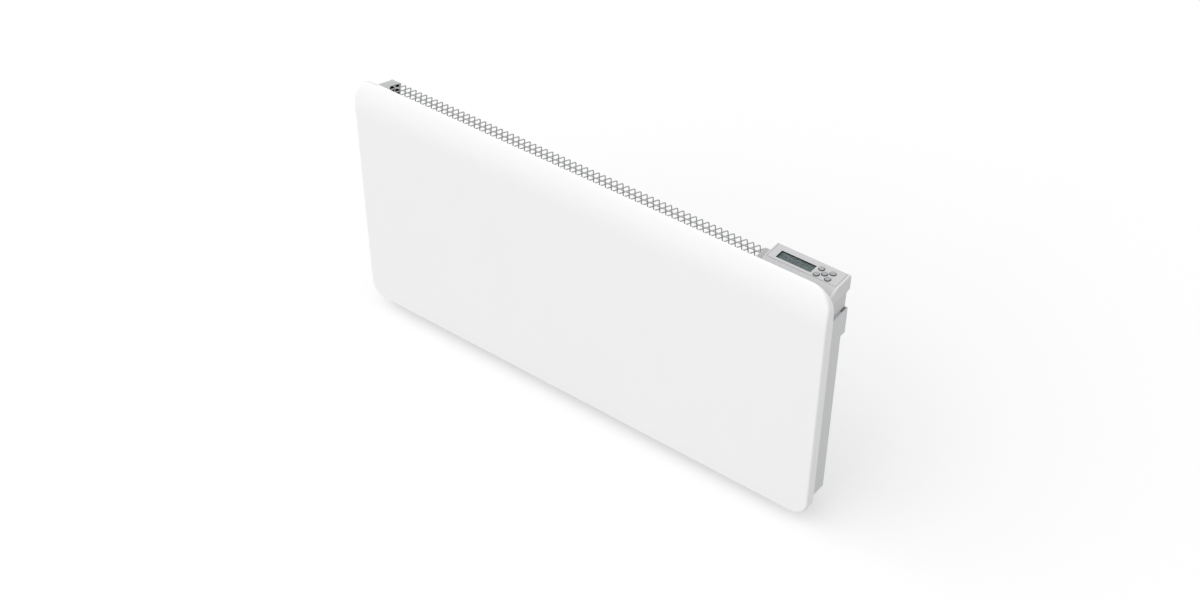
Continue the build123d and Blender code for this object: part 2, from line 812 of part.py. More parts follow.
board_mid_y = (power_board_y[0] + power_board_y[1]) / 2
relay = component(power_board_x[0] + 22, board_mid_y + 8, (19, 15, 15.5), 0.8, "relay")
transformer = component(power_board_x[0] + 48, board_mid_y + 8, (26, 22, 19), 1.2, "transformer")
capacitor = component(power_board_x[0] + 17, board_mid_y - 12, (18, 8, 14), 1.0, "filter_capacitor")
terminal_length = 30.0
board_terminal = component(
    power_board_x[1] - 6, board_mid_y - 8, (10, terminal_length, 12), 0.5, "board_terminal"
)

ribbon_x = power_board_x[0] + 38
with BuildPart() as ribbon_cable:
    with BuildSketch(across(ribbon_x)):
        with BuildLine():
            FilletPolyline(
                (fascia_y[0] + 6, board_top - board_gauge),
                (fascia_y[0] + 6, board_top - board_gauge - 12),
                (board_mid_y - 14, power_top + 12),
                (board_mid_y - 14, power_top),
                radius=5.0,
            )
        trace(line_width=0.8)
    extrude(amount=10.0)
ribbon_cable.part.label = "ribbon_cable"


# ---------------------------------------------------------------- heating element
element_y = (duct_front + casing_inner) / 2
element_z = cheek_bottom + element_rise
element_range = (duct_left + element_left_space, duct_right - element_right_space)
element_length = element_range[1] - element_range[0]
legs = (element_z - leg_spacing / 2, element_z + leg_spacing / 2)
bush_radius = 7.0
bush_length = 12.0
terminal_pin = 1.6

with BuildPart() as element_body:
    with BuildSketch(across(element_range[0])):
        with Locations(*[(element_y, z) for z in legs]):
            Circle(core_diameter / 2)
        with Locations((element_y, element_z)):
            Rectangle(wing_gauge, leg_spacing)
        for up in (-1, 1):
            root = element_z + up * leg_spacing / 2
            for side in (-1, 1):
                with BuildLine():
                    tip = (element_y + side * wing_spread, root + up * wing_height)
                    foot = (element_y + side * 2, root + up * 2)
                    Polyline(
                        foot,
                        tip,
                        (tip[0] - side * wing_gauge, tip[1]),
                        (foot[0] - side * wing_gauge, foot[1]),
                        close=True,
                    )
                make_face()
            with Locations((element_y, root)):
                Rectangle(2 * wing_spread, wing_gauge)
        with Locations(*[(element_y, z) for z in legs]):
            Circle(sheath_diameter / 2 + 0.05, mode=Mode.SUBTRACT)
    extrude(amount=element_length)
    slit_half = leg_spacing / 2 + core_diameter / 2 + 4
    for x in spread(element_range[0] + 40, element_range[1] - 40, 13):
        for up in (-1, 1):
            span = sorted((element_z + up * slit_half, element_z + up * (slit_half + wing_height)))
            block((x - 1, x + 1), (duct_front, casing_inner), span, mode=Mode.SUBTRACT)
element_body.part.label = "element_body"

with BuildPart() as element_sheath:
    with BuildLine() as hairpin:
        low_leg = Line((duct_right + 10, element_y, legs[0]), (element_range[0] - 14, element_y, legs[0]))
        turn = ThreePointArc(
            low_leg @ 1,
            (element_range[0] - 14 - leg_spacing / 2, element_y, element_z),
            (element_range[0] - 14, element_y, legs[1]),
        )
        Line(turn @ 1, (duct_right + 10, element_y, legs[1]))
    with BuildSketch(Plane(origin=hairpin.line @ 0, z_dir=hairpin.line % 0)):
        Circle(sheath_diameter / 2)
    sweep()
    with Locations(*seats([(duct_right + 10, element_y, z) for z in legs], (1, 0, 0))):
        Cylinder(terminal_pin, 10.0, align=(Align.CENTER, Align.CENTER, Align.MIN))
element_sheath.part.label = "element_sheath"

bracket_x = element_range[0] - 7
with BuildPart() as element_insulators:
    bush_places = [(bracket_x + shield_gauge / 2, element_y, z) for z in legs]
    bush_places += [(duct_right + shield_gauge / 2, element_y, z) for z in legs]
    with Locations(*seats(bush_places, (1, 0, 0))):
        Cylinder(bush_radius, bush_length)
        Cylinder(sheath_diameter / 2 + fit_gap, bush_length, mode=Mode.SUBTRACT)
element_insulators.part.label = "element_insulators"

foot_length = 10.0
with BuildPart() as element_bracket:
    plate_z = (legs[0] - bush_radius - 5, legs[1] + bush_radius + 5)
    block(
        (bracket_x, bracket_x + shield_gauge),
        (element_y - bush_radius - 3, casing_inner),
        plate_z,
    )
    block(
        (bracket_x - foot_length, bracket_x + shield_gauge),
        (casing_inner - shield_gauge, casing_inner),
        plate_z,
    )
    with Locations(*seats([(bracket_x + cut_over, element_y, z) for z in legs], (1, 0, 0))):
        Hole(bush_radius + fit_gap, depth=2 * cut_over)
element_bracket.part.label = "element_bracket"


# ---------------------------------------------------------------- heat shield
under_grille = grille_height(duct_front) - grille_gauge - mould_wall
shield_z = (cheek_bottom + shield_rise, under_grille - 2 * seat_gap)
wall_z = (cheek_bottom + shield_rise, tongue_bottom - 1)

with BuildPart() as heat_shield:
    block((duct_left, duct_right + shield_gauge), (duct_front - shield_gauge, duct_front), shield_z)
    block((duct_left, duct_left + shield_gauge), (duct_front, casing_inner), wall_z)
    block((duct_right, duct_right + shield_gauge), (duct_front, casing_inner), wall_z)
    foot_y = (casing_inner - shield_gauge, casing_inner)
    block((duct_left - shield_foot, duct_left + shield_gauge), foot_y, wall_z)
    block((duct_right, duct_right + shield_foot), foot_y, wall_z)
    with Locations(*seats([(duct_right + cut_over, element_y, z) for z in legs], (1, 0, 0))):
        Hole(bush_radius + fit_gap, depth=2 * cut_over)
    drill(shield_screws_at, casing_gauge + 2 * shield_gauge)
heat_shield.part.label = "heat_shield"


# ---------------------------------------------------------------- thermal cut-out
cutout_z = element_z + 110
cutout_radius = 8.0
cutout_length = 9.0
ear_length = 26.0
cutout_face = duct_right + shield_gauge

with BuildPart() as thermal_cutout:
    with BuildSketch(across(cutout_face)):
        with Locations((element_y, cutout_z)):
            SlotOverall(ear_length, 9.0, rotation=90)
            Circle(cutout_radius)
    extrude(amount=1.0)
    with BuildSketch(across(cutout_face)):
        with Locations((element_y, cutout_z)):
            Circle(cutout_radius)
    extrude(amount=cutout_length)
    for side in (-1, 1):
        blade_y = sorted((element_y + side * 3, element_y + side * 3.8))
        block((cutout_face + cutout_length, cutout_face + cutout_length + 7), blade_y,
              (cutout_z - 3, cutout_z + 3))
thermal_cutout.part.label = "thermal_cutout"


# ---------------------------------------------------------------- mains entry
gland_flange = 9.0
gland_drop = 3.5
gland_height = 11.0
gland_bore = 4.0
nut_height = 4.5

with BuildPart() as cord_gland:
    with BuildSketch(level(cheek_bottom - gland_drop)):
        with Locations((gland_x, gland_y)):
            Circle(gland_flange)
    extrude(amount=gland_drop)
    chamfer(cord_gland.edges().group_by(Axis.Z)[0], 1.0)
    with BuildSketch(level(cheek_bottom)):
        with Locations((gland_x, gland_y)):
            Circle(gland_radius)
    extrude(amount=gland_height)
    with Locations((gland_x, gland_y, cheek_bottom + gland_height)):
        Hole(gland_bore)
cord_gland.part.label = "cord_gland"

with BuildPart() as gland_nut:
    with BuildSketch(level(cheek_bottom + casing_gauge)):
        with Locations((gland_x, gland_y)):
            RegularPolygon(gland_flange, 6)
            Circle(gland_radius + fit_gap, mode=Mode.SUBTRACT)
    extrude(amount=nut_height)
gland_nut.part.label = "gland_nut"

clamp_z = (cheek_bottom + 26, cheek_bottom + 36)
clamp_half = 15.0
cord_space = gland_bore + 0.5
clamp_screw_places = [(gland_x + side * 10, clamp_z[0] + 5) for side in (-1, 1)]

with BuildPart() as clamp_block:
    block((gland_x - clamp_half, gland_x + clamp_half), (gland_y + cord_space, casing_inner), clamp_z)
    with Locations(*seats([(x, gland_y, z) for x, z in clamp_screw_places], (0, -1, 0))):
        Hole(screw_radius + fit_gap, depth=cord_space + 8)
clamp_block.part.label = "clamp_block"

bar_front = gland_y - cord_space - 3.0
with BuildPart() as cord_clamp:
    block(
        (gland_x - clamp_half, gland_x + clamp_half), (bar_front, gland_y - cord_space), clamp_z
    )
    fillet(cord_clamp.edges().filter_by(Axis.Z).group_by(Axis.Y)[0], 1.5)
    with Locations(*seats([(x, bar_front - 1, z) for x, z in clamp_screw_places], (0, -1, 0))):
        Hole(screw_radius + fit_gap, depth=6.0)
cord_clamp.part.label = "cord_clamp"

with BuildPart() as clamp_screws:
    add_screws(
        seats([(x, bar_front, z) for x, z in clamp_screw_places], (0, -1, 0)),
        3.0 + 2 * cord_space + 6.0,
    )
clamp_screws.part.label = "clamp_screws"

block_x = (gland_x - 52, gland_x - 22)
block_z = (cheek_bottom + 52, cheek_bottom + 72)
block_depth = 14.0
poles = spread(block_x[0] + 5, block_x[1] - 5, 3)

with BuildPart() as terminal_block:
    block(block_x, (casing_inner - block_depth, casing_inner), block_z)
    for x in (block_x[0] + 10, block_x[1] - 10):
        block(
            (x - 0.6, x + 0.6),
            (casing_inner - block_depth, casing_inner - block_depth + 4),
            block_z,
            mode=Mode.SUBTRACT,
        )
    pole_seats = [
        (x, casing_inner - block_depth, z) for x in poles for z in (block_z[0] + 5, block_z[1] - 5)
    ]
    with Locations(*seats(pole_seats, (0, -1, 0))):
        Hole(2.2, depth=3.0)
terminal_block.part.label = "terminal_block"

with BuildPart() as terminal_screws:
    sunk = [(x, y + 3.0, z) for x, y, z in pole_seats]
    with Locations(*seats(sunk, (0, -1, 0))):
        Cylinder(2.0, 2.0, align=(Align.CENTER, Align.CENTER, Align.MIN))
    with Locations(*seats([(x, y - 2.0, z) for x, y, z in sunk], (0, -1, 0))):
        Box(3.0, 0.7, 1.6, mode=Mode.SUBTRACT)
terminal_screws.part.label = "terminal_screws"


# ---------------------------------------------------------------- leads
lead_radius = 1.2
lead_bend = 7.0
terminal_face = power_board_x[1] - 1.0
lead_column = terminal_face + 12.0
sensor_column = neck_face - 5.0
terminal_z = power_top + 6.0


def lead(points, radius=lead_radius, bend=lead_bend):
    """Insulated lead along straight runs joined by arcs."""
    with BuildLine() as route:
        FilletPolyline(*points, radius=bend)
    with BuildSketch(Plane(origin=route.line @ 0, z_dir=route.line % 0)) as section:
        Circle(radius)
    sweep(section.sketch, path=route.line)


def terminal_y(number):
    """Depth of one way of the board's terminal, counted from its front end."""
    return board_mid_y - 8 - terminal_length / 2 + 4 + number * 5.5


with BuildPart() as supply_leads:
    lead_y = casing_inner - block_depth / 2
    for number, x in enumerate(poles):
        lead(
            [
                (x, lead_y, block_z[1]),
                (x, lead_y, cheek_bottom + 170 - 6 * number),
                (lead_column, terminal_y(number), cheek_bottom + 230 - 6 * number),
                (lead_column, terminal_y(number), terminal_z),
                (terminal_face, terminal_y(number), terminal_z),
            ]
        )
supply_leads.part.label = "supply_leads"

pin_end = duct_right + 20
with BuildPart() as element_leads:
    for number, z in enumerate(legs):
        way = 3 + number
        reach = pin_end + 16 + 8 * (1 - number)
        lead(
            [
                (pin_end, element_y, z),
                (reach, element_y, z),
                (reach, element_y - 8, cheek_bottom + 250),
                (lead_column, terminal_y(way), cheek_bottom + 296),
                (lead_column, terminal_y(way), terminal_z),
                (terminal_face, terminal_y(way), terminal_z),
            ]
        )
element_leads.part.label = "element_leads"


# ---------------------------------------------------------------- room sensor
sensor_z = cheek_bottom + 24
sensor_y = flange_plane + 14
sensor_x = cheek_inner - 6

with BuildPart() as sensor_clip:
    block((cheek_inner - 9, cheek_inner), (sensor_y - 4, sensor_y + 4), (sensor_z - 4, sensor_z + 4))
    with Locations((sensor_x + 1, sensor_y, sensor_z + 4)):
        Hole(2.6, depth=8.0)
sensor_clip.part.label = "sensor_clip"

with BuildPart() as room_sensor:
    with Locations((sensor_x + 1, sensor_y, sensor_z)):
        Cylinder(2.5, 14.0)
    fillet(room_sensor.edges().group_by(Axis.Z)[0], 2.0)
room_sensor.part.label = "room_sensor"

with BuildPart() as sensor_lead:
    lead(
        [
            (sensor_x + 1, sensor_y, sensor_z + 7),
            (sensor_x + 1, sensor_y, cheek_bottom + 220),
            (sensor_column, sensor_y - 4, cheek_bottom + 280),
            (sensor_column, sensor_y - 4, board_top - board_gauge - 14),
            (fascia_x[1] - 14, fascia_y[0] + 8, board_top - board_gauge - 10),
            (fascia_x[1] - 14, fascia_y[0] + 8, board_top - board_gauge),
        ],
        radius=0.9,
        bend=4.0,
    )
sensor_lead.part.label = "sensor_lead"


# ---------------------------------------------------------------- screws that hold the shells
with BuildPart() as panel_screws:
    add_screws(side_screws + lip_screws, 6.0)
panel_screws.part.label = "panel_screws"

with BuildPart() as grille_screws:
    add_screws(grille_screws_at, 4.0)
grille_screws.part.label = "grille_screws"

with BuildPart() as casing_screws:
    add_screws(cheek_screws_at + tongue_screws_at + cap_screws_at, 4.5)
casing_screws.part.label = "casing_screws"

with BuildPart() as shield_screws:
    add_screws(shield_screws_at, 4.5)
shield_screws.part.label = "shield_screws"


# ---------------------------------------------------------------- output
pieces = [
    wall_bracket.part, front_panel.part, rear_casing.part, left_cheek.part, right_cheek.part,
    left_end_cap.part, top_grille.part, control_housing.part, control_fascia.part,
    display_window.part, display_module.part, *key_parts, key_switches.part, control_board.part,
    board_screws.part, power_board.part, relay, transformer, capacitor, board_terminal,
    ribbon_cable.part, element_body.part, element_sheath.part, element_insulators.part,
    element_bracket.part, heat_shield.part, thermal_cutout.part, cord_gland.part, gland_nut.part,
    clamp_block.part, cord_clamp.part, clamp_screws.part, terminal_block.part,
    terminal_screws.part, supply_leads.part, element_leads.part, sensor_clip.part,
    room_sensor.part, sensor_lead.part, panel_screws.part, grille_screws.part,
    casing_screws.part, shield_screws.part,
]

os.makedirs("parts", exist_ok=True)
for piece in pieces:
    export_step(piece, f"parts/{piece.label}.step")
print(len(pieces), "pieces written")
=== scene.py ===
"""Looks of a wall panel convector heater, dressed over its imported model, in metres."""

from __future__ import annotations

import logging
from abc import ABC, abstractmethod
from dataclasses import dataclass
from enum import Enum
from math import cos, radians, sin
from typing import ClassVar, Iterable

import bmesh
import bpy
from mathutils import Matrix, Vector


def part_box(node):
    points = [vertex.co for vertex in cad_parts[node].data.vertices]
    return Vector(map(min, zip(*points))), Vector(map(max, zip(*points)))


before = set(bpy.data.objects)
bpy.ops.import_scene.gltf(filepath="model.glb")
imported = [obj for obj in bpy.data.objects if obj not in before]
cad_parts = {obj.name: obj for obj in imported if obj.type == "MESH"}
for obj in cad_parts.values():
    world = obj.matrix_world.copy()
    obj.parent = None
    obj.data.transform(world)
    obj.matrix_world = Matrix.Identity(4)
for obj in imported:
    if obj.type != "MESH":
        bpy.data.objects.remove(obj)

logging.basicConfig(level=logging.INFO, format="%(name)s: %(message)s")
log = logging.getLogger("heater")

Colour = tuple[float, float, float]
Corner = tuple[float, float, float]
Box = tuple[Corner, Corner]
Span = tuple[float, float]
MM = 0.001
EVEN: Corner = (1.0, 1.0, 1.0)
NOWHERE: Box = ((0.0, 0.0, 0.0), (0.0, 0.0, 0.0))
# Sockets of the mix node when it mixes colours.
MIX_FACTOR, MIX_FIRST, MIX_SECOND, MIX_RESULT = 0, 6, 7, 2


def inset(node: str, low: Corner, high: Corner) -> Box:
    """Moves the corners of a node's box.

    Args:
        node: the CAD node.
        low: millimetres that the least corner moves by.
        high: millimetres that the greatest corner moves by.

    Returns:
        Both corners in metres.
    """
    least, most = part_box(node)
    return tuple(least + Vector(low) * MM), tuple(most + Vector(high) * MM)


def region(low: Corner, high: Corner) -> Box:
    """Turns a box's corners from millimetres into metres."""
    return tuple(c * MM for c in low), tuple(c * MM for c in high)


def paint(red: int, green: int, blue: int) -> Colour:
    """Turns a colour as a screen shows it, 0 to 255, into the linear colour that a shader takes.

    The turn follows the sRGB curve.

    Args:
        red: red as shown.
        green: green as shown.
        blue: blue as shown.

    Returns:
        The same colour in linear light.
    """
    shown = (red / 255, green / 255, blue / 255)
    return tuple(c / 12.92 if c < 0.04045 else ((c + 0.055) / 1.055) ** 2.4 for c in shown)


# ------------------------------------------------------------------ shader expressions


class Signal:
    """A value in a shader. An expression on it adds the Math nodes that work it out."""

    def __init__(self, shader: "Shader", socket: bpy.types.NodeSocket) -> None:
        """Wraps an output socket of a shader's tree."""
        self.shader = shader
        self.socket = socket

    def _math(self, operation: str, *terms: "Term") -> "Signal":
        """Adds one Math node."""
        return self.shader.node("ShaderNodeMath", {"operation": operation}, dict(enumerate(terms)))

    def __add__(self, other: "Term") -> "Signal":
        """Sum."""
        return self._math("ADD", self, other)

    def __sub__(self, other: "Term") -> "Signal":
        """Difference."""
        return self._math("SUBTRACT", self, other)

    def __rsub__(self, other: "Term") -> "Signal":
        """Difference with the signal on the right."""
        return self._math("SUBTRACT", other, self)

    def __mul__(self, other: "Term") -> "Signal":
        """Product."""
        return self._math("MULTIPLY", self, other)

    def __mod__(self, other: "Term") -> "Signal":
        """Place within a repeat, always from 0 up."""
        return self._math("FLOORED_MODULO", self, other)

    def __abs__(self) -> "Signal":
        """Size without sign."""
        return self._math("ABSOLUTE", self)

    __radd__ = __add__
    __rmul__ = __mul__

    def at_least(self, other: "Term") -> "Signal":
        """The larger of the two."""
        return self._math("MAXIMUM", self, other)

    def blended(self, other: "Signal", share: float) -> "Signal":
        """This signal with a share of another in its place."""
        return self * (1.0 - share) + other * share

    def rise(self, low: float, high: float) -> "Signal":
        """A soft step.

        Args:
            low: where it leaves 0.
            high: where it reaches 1.

        Returns:
            The step as a mask.
        """
        return self.shader.node(
            "ShaderNodeMapRange",
            {"interpolation_type": "SMOOTHSTEP"},
            {"Value": self, "From Min": low, "From Max": high},
        )


Term = Signal | float | int | tuple


class Shader:
    """One material while its nodes are laid out."""

    def __init__(self, tree: bpy.types.NodeTree) -> None:
        """Starts on a node tree that is ready to take nodes."""
        self.tree = tree

    def node(
        self,
        kind: str,
        settings: dict[str, object] | None = None,
        sockets: dict[str | int, Term] | None = None,
        out: str | int = 0,
    ) -> Signal:
        """Adds one node.

        Args:
            kind: the node's type.
            settings: properties that are set first.
            sockets: values or signals for its inputs.
            out: which output is wanted.

        Returns:
            That output as a signal.
        """
        made = self.tree.nodes.new(kind)
        for key, value in (settings or {}).items():
            setattr(made, key, value)
        for key, value in (sockets or {}).items():
            if isinstance(value, Signal):
                self.tree.links.new(value.socket, made.inputs[key])
            else:
                made.inputs[key].default_value = value
        return Signal(self, made.outputs[out])

    def place(self, stretch: Corner = EVEN) -> Signal:
        """Points of the frame in metres, scaled along each axis."""
        here = self.node("ShaderNodeTexCoord", out="Object")
        if stretch == EVEN:
            return here
        return self.node("ShaderNodeMapping", {}, {"Vector": here, "Scale": stretch})

    def grain(self, size: float, detail: float = 2.0, stretch: Corner = EVEN) -> Signal:
        """Soft noise.

        Args:
            size: breadth of one patch in metres.
            detail: how many finer layers it has.
            stretch: scale along each axis; under 1 draws the patches out.

        Returns:
            The noise, about 0.5 on average.
        """
        return self.node(
            "ShaderNodeTexNoise",
            {},
            {"Vector": self.place(stretch), "Scale": 1.0 / size, "Detail": detail},
        )

    def cells(self, size: float, out: str = "Distance") -> Signal:
        """Voronoi cells of one size in metres."""
        return self.node(
            "ShaderNodeTexVoronoi", {}, {"Vector": self.place(), "Scale": 1.0 / size}, out
        )

    def axis(self, name: str) -> Signal:
        """One coordinate of the frame in metres."""
        return self.node("ShaderNodeSeparateXYZ", {}, {0: self.place()}, name)

    def tint(self, mask: Term, first: Colour | Signal, second: Colour | Signal) -> Signal:
        """Mixes two colours.

        Args:
            mask: 0 for the first, 1 for the second.
            first: a colour.
            second: a colour.

        Returns:
            The mix.
        """
        ends = [c if isinstance(c, Signal) else (*c, 1.0) for c in (first, second)]
        return self.node(
            "ShaderNodeMix",
            {"data_type": "RGBA"},
            {MIX_FACTOR: mask, MIX_FIRST: ends[0], MIX_SECOND: ends[1]},
            MIX_RESULT,
        )

    def within(self, low: Corner, high: Corner, soft: float = 0.1 * MM) -> Signal:
        """A mask of what lies in a box.

        Args:
            low: the box's least corner.
            high: its greatest corner.
            soft: breadth of the mask's edge.

        Returns:
            The mask.
        """
        inside: Term = 1.0
        for name, least, most in zip("XYZ", low, high):
            off = abs(self.axis(name) - (least + most) / 2)
            inside = inside * ((most - least) / 2 - off).rise(0.0, soft)
        return inside

    def relief(self, height: Signal, depth: float, strength: float = 1.0) -> Signal:
        """Bump from a height.

        Args:
            height: 0 to 1.
            depth: metres from the bottom to the top of the relief.
            strength: how much of it shows.

        Returns:
            The bumped normal.
        """
        return self.node(
            "ShaderNodeBump", {}, {"Height": height, "Distance": depth, "Strength": strength}
        )


# ------------------------------------------------------------------ finishes


@dataclass(frozen=True)
class Finish(ABC):
    """A finish of one colour, with the sockets that are the same all over it."""

    name: str
    colour: Colour
    rough: float
    metallic: float = 0.0
    made: ClassVar[dict[str, bpy.types.Material]] = {}

    def material(self) -> bpy.types.Material:
        """Returns the finish as a material, which is made once."""
        if self.name not in self.made:
            built = bpy.data.materials.new(self.name)
            built.use_nodes = True
            built.diffuse_color = (*self.colour, 1.0)
            shader = Shader(built.node_tree)
            surface = built.node_tree.nodes["Principled BSDF"]
            for key, value in self.constants().items():
                surface.inputs[key].default_value = value
            for key, value in self.lay(shader).items():
                built.node_tree.links.new(value.socket, surface.inputs[key])
            self.made[self.name] = built
        return self.made[self.name]

    def constants(self) -> dict[str, float]:
        """Returns the sockets that are the same all over."""
        return {"Metallic": self.metallic}

    def shade(self, amount: float) -> Colour:
        """Returns the colour made lighter or darker."""
        return tuple(min(c * amount, 1.0) for c in self.colour)

    def varied(self, shader: Shader, mask: Signal, span: Span) -> Signal:
        """Returns the colour, shaded from one amount to another by a mask."""
        return shader.tint(mask, self.shade(span[0]), self.shade(span[1]))

    @abstractmethod
    def lay(self, shader: Shader) -> dict[str, Signal]:
        """Lays out the nodes.

        Args:
            shader: the material's tree.

        Returns:
            The signals for the surface's sockets.
        """


@dataclass(frozen=True)
class PowderCoat(Finish):
    """Sprayed and baked coat on sheet steel, with its faint orange peel."""

    peel: float = 1.6 * MM
    peel_depth: float = 0.02 * MM
    peel_strength: float = 0.7
    speck: float = 0.35 * MM
    drift: float = 220 * MM
    blotch: float = 20 * MM
    blotch_dulls: float = 0.08
    speck_dulls: float = 0.05
    tones: Span = (0.985, 1.012)

    def lay(self, shader: Shader) -> dict[str, Signal]:
        """Lays out the peel and the slow change of tone."""
        peel = shader.grain(self.peel, 1.0)
        speck = shader.grain(self.speck, 1.0)
        tone = shader.grain(self.drift).blended(peel, 0.3)
        dull = shader.grain(self.blotch) * self.blotch_dulls + speck * self.speck_dulls
        usual = (self.blotch_dulls + self.speck_dulls) / 2
        return {
            "Base Color": self.varied(shader, tone, self.tones),
            "Roughness": dull + (self.rough - usual),
            "Normal": shader.relief(
                peel.blended(speck, 0.2), self.peel_depth, self.peel_strength
            ),
        }


@dataclass(frozen=True)
class PanelCoat(PowderCoat):
    """The panel's coat, greyer on the rim at one corner, where the grey is painted shade."""

    shaded_lip: Box = NOWHERE
    shaded_lip_edge: float = 0.4 * MM
    lip_shade: float = 0.82

    def lay(self, shader: Shader) -> dict[str, Signal]:
        """Lays out the coat and the painted shade on the corner's rim."""
        signals = super().lay(shader)
        # Painted shade: within the box the coat is darkened to stand in for the shade on the rim.
        shaded_lip = shader.within(*self.shaded_lip, soft=self.shaded_lip_edge)
        coat = shader.tint(shaded_lip, signals["Base Color"], self.shade(self.lip_shade))
        return {**signals, "Base Color": coat}


@dataclass(frozen=True)
class SparkMould(Finish):
    """Moulded plastic from a spark-eroded tool."""

    pit: float = 0.4 * MM
    pit_depth: float = 0.012 * MM
    pit_strength: float = 0.8
    pit_dulls: float = 0.1
    flow: float = 60 * MM
    flow_stretch: Corner = (1.0, 2.5, 1.0)
    detail: float = 3.0
    tones: Span = (0.975, 1.02)

    def lay(self, shader: Shader) -> dict[str, Signal]:
        """Lays out the fine pits and the faint flow of the melt."""
        pits = shader.grain(self.pit, self.detail)
        flow = shader.grain(self.flow, self.detail, self.flow_stretch)
        return {
            "Base Color": self.varied(shader, flow.blended(pits, 0.3), self.tones),
            "Roughness": pits * self.pit_dulls + (self.rough - self.pit_dulls / 2),
            "Normal": shader.relief(pits, self.pit_depth, self.pit_strength),
        }


@dataclass(frozen=True)
class ShadeMould(SparkMould):
    """Moulded plastic with painted shade within a box and in a ring round each of some pieces."""

    shade_box: Box = NOWHERE
    shade_colour: Colour = paint(26, 28, 30)
    wells: tuple[str, ...] = ()
    well_radius: float = 4.85 * MM
    well_edge: float = 0.2 * MM

    def _off_axis(self, shader: Shader, node: str) -> Signal:
        """Returns the distance from the upright axis through the middle of a node's box."""
        low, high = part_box(node)
        middle = (low + high) / 2
        return shader.node(
            "ShaderNodeVectorMath",
            {"operation": "DISTANCE"},
            {0: shader.place((1.0, 1.0, 0.0)), 1: (middle.x, middle.y, 0.0)},
            "Value",
        )

    def lay(self, shader: Shader) -> dict[str, Signal]:
        """Lays out the mould grain, the painted shade in the box and the painted shade ring round
        each well.
        """
        signals = super().lay(shader)
        # Painted shade: the box and a ring round each listed piece take the shade colour.
        painted_shade = shader.within(*self.shade_box)
        for node in self.wells:
            outside = self._off_axis(shader, node).rise(
                self.well_radius, self.well_radius + self.well_edge
            )
            painted_shade = painted_shade.at_least(1.0 - outside)
        return {**signals, "Base Color": shader.tint(painted_shade, signals["Base Color"], self.shade_colour)}


@dataclass(frozen=True)
class LightShadeMould(SparkMould):
    """Moulded plastic with painted light and shade by region: each region's tone stands in for how
    the light falls on it.
    """

    light_shade_regions: tuple[tuple[Box, float], ...] = ()
    light_shade_edge: float = 0.5 * MM

    def lay(self, shader: Shader) -> dict[str, Signal]:
        """Lays out the mould grain and the painted light and shade of each region."""
        signals = super().lay(shader)
        colour = signals["Base Color"]
        # Painted light and shade: each region's colour is scaled by its tone, under 1 for shade
        # and over 1 for light.
        for box, tone in self.light_shade_regions:
            mask = shader.within(*box, soft=self.light_shade_edge)
            colour = shader.tint(mask, colour, self.shade(tone))
        return {**signals, "Base Color": colour}


@dataclass(frozen=True)
class CapMould(SparkMould):
    """A round key's plastic, with painted shade on its side below the top."""

    crown_edge: Span = (0.06 * MM, 0.3 * MM)
    flank_shade: Colour = paint(92, 93, 95)

    def lay(self, shader: Shader) -> dict[str, Signal]:
        """Lays out the mould grain and the painted shade on the side."""
        signals = super().lay(shader)
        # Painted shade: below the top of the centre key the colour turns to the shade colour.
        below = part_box("key_centre")[1].z - shader.axis("Z")
        flank_shade = below.rise(*self.crown_edge)
        return {**signals, "Base Color": shader.tint(flank_shade, signals["Base Color"], self.flank_shade)}


@dataclass(frozen=True)
class MeshCoat(PowderCoat):
    """The coat on the diamond mesh, with painted shade on the strands that the stretching twisted
    from the light, and more painted shade under the panel.

    Attributes:
        first: where the first whole diamond starts along the grille.
        pitch: length of a diamond along the grille.
        step: depth of half a diamond.
        tip: depth at which the rear tips' strands cross.
        rear: the grille's rear edge.
        fold: depth at which the mesh gives way to the front flange.
        strand: half breadth of a twisted strand, in diamonds, with its edge.
        start: where the mesh begins, in diamonds before the first.
        shelter: depths between which the mesh comes under the panel.
        turned_shade: painted shade on a twisted strand, as a tone.
        panel_shade: painted shadow of the panel, a further tone on the twisted strands under it.
    """

    first: float = -396.5 * MM
    pitch: float = 10.815 * MM
    step: float = 7.17 * MM
    tip: float = 6.6 * MM
    rear: float = -2.0 * MM
    fold: Span = (34 * MM, 35 * MM)
    strand: Span = (0.07, 0.13)
    start: Span = (-0.6, -0.45)
    shelter: Span = (9 * MM, 20 * MM)
    turned_shade: float = 0.45
    panel_shade: float = 0.55

    def lay(self, shader: Shader) -> dict[str, Signal]:
        """Lays out the coat, the painted shade on the twisted strands and the painted shadow on
        the rows under the panel.
        """
        signals = super().lay(shader)
        along = (shader.axis("X") - self.first) * (1 / self.pitch)
        back = self.rear - shader.axis("Y")
        slant = along - (back - self.tip) * (0.5 / self.step)
        strand = 1.0 - abs(slant % 1.0 - 0.5).rise(*self.strand)
        mesh = along.rise(*self.start) * (1.0 - back.rise(*self.fold))
        # Painted shade: twisted strands are darkened, and under the panel's edge they are darkened
        # again as painted shadow.
        coat = shader.tint(strand * mesh, signals["Base Color"], self.shade(self.turned_shade))
        shelter = back.rise(*self.shelter) * mesh * strand
        deep_shade = self.shade(self.turned_shade * self.panel_shade)
        return {**signals, "Base Color": shader.tint(shelter, coat, deep_shade)}


